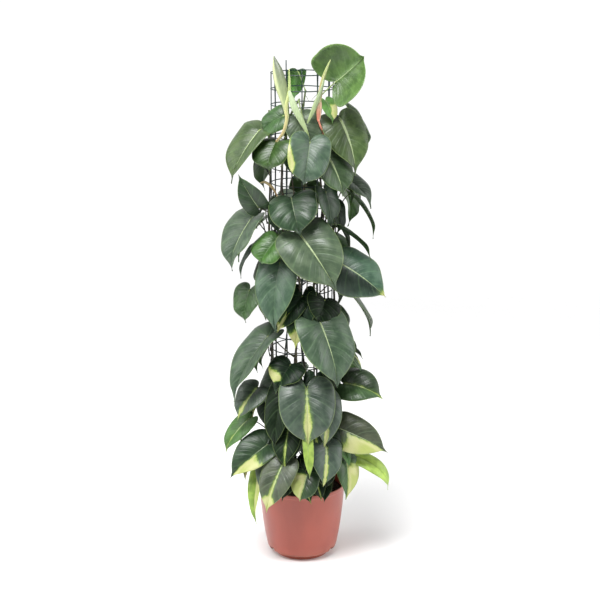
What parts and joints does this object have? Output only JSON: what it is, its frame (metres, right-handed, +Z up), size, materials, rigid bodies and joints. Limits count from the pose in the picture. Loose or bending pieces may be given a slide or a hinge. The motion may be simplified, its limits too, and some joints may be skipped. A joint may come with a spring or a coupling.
{
  "type": "potted philodendron",
  "caption": "Variegated heart-leaf philodendron climbing a green wire-mesh column in a round terracotta-coloured plastic nursery pot.",
  "frame": {"origin": "centre of the flat underside of the pot, on the surface the pot stands on", "axes": "+Z up along the pot and the wire column; -Y is the plant's front, +X its right seen from the front"},
  "size_m": [0.391, 0.3318, 1.2357],
  "materials": {
    "terracotta_plastic": "satin",
    "potting_mix": "matte",
    "green_coating": "satin",
    "vine_bark": "satin",
    "leaf_green": "satin",
    "leaf_variegated": "satin",
    "new_growth": "satin",
    "sheath_pink": "satin",
    "sheath_dry": "matte"
  },
  "bodies": {
    "root": {"pot": "terracotta_plastic", "soil": "potting_mix", "wire_column": "green_coating", "vine_1": "vine_bark", "vine_2": "vine_bark", "vine_3": "vine_bark", "vine_4": "vine_bark", "vine_5": "vine_bark", "leaf_01": "leaf_green", "leaf_02": "leaf_green", "leaf_03": "leaf_green", "leaf_04": "leaf_green", "leaf_05": "leaf_green", "leaf_06": "leaf_green", "leaf_07": "leaf_green", "leaf_08": "leaf_green", "leaf_09": "leaf_green", "leaf_10": "leaf_green", "leaf_11": "leaf_green", "leaf_12": "leaf_green", "leaf_13": "leaf_green", "leaf_14": "leaf_green", "leaf_15": "leaf_green", "leaf_16": "leaf_green", "leaf_17": "leaf_green", "leaf_18": "leaf_green", "leaf_19": "leaf_green", "leaf_20": "leaf_variegated", "leaf_21": "leaf_variegated", "leaf_22": "leaf_variegated", "leaf_23": "leaf_variegated", "leaf_24": "leaf_variegated", "leaf_25": "leaf_variegated", "leaf_26": "leaf_variegated", "leaf_27": "leaf_variegated", "leaf_28": "leaf_variegated", "leaf_29": "leaf_variegated", "leaf_30": "leaf_variegated", "leaf_31": "leaf_variegated", "leaf_32": "leaf_variegated", "leaf_33": "leaf_green", "leaf_34": "leaf_green", "leaf_35": "leaf_green", "leaf_36": "leaf_green", "leaf_37": "leaf_green", "leaf_38": "leaf_green", "leaf_39": "leaf_green", "leaf_40": "leaf_green", "leaf_41": "leaf_green", "leaf_42": "leaf_green", "leaf_43": "leaf_green", "leaf_44": "leaf_green", "leaf_45": "leaf_variegated", "leaf_46": "leaf_variegated", "leaf_47": "leaf_variegated", "leaf_48": "leaf_variegated", "rolled_leaf_left": "new_growth", "rolled_leaf_right": "new_growth", "bud_sheath": "sheath_pink", "dry_sheath": "sheath_dry"}
  },
  "joints": []
}
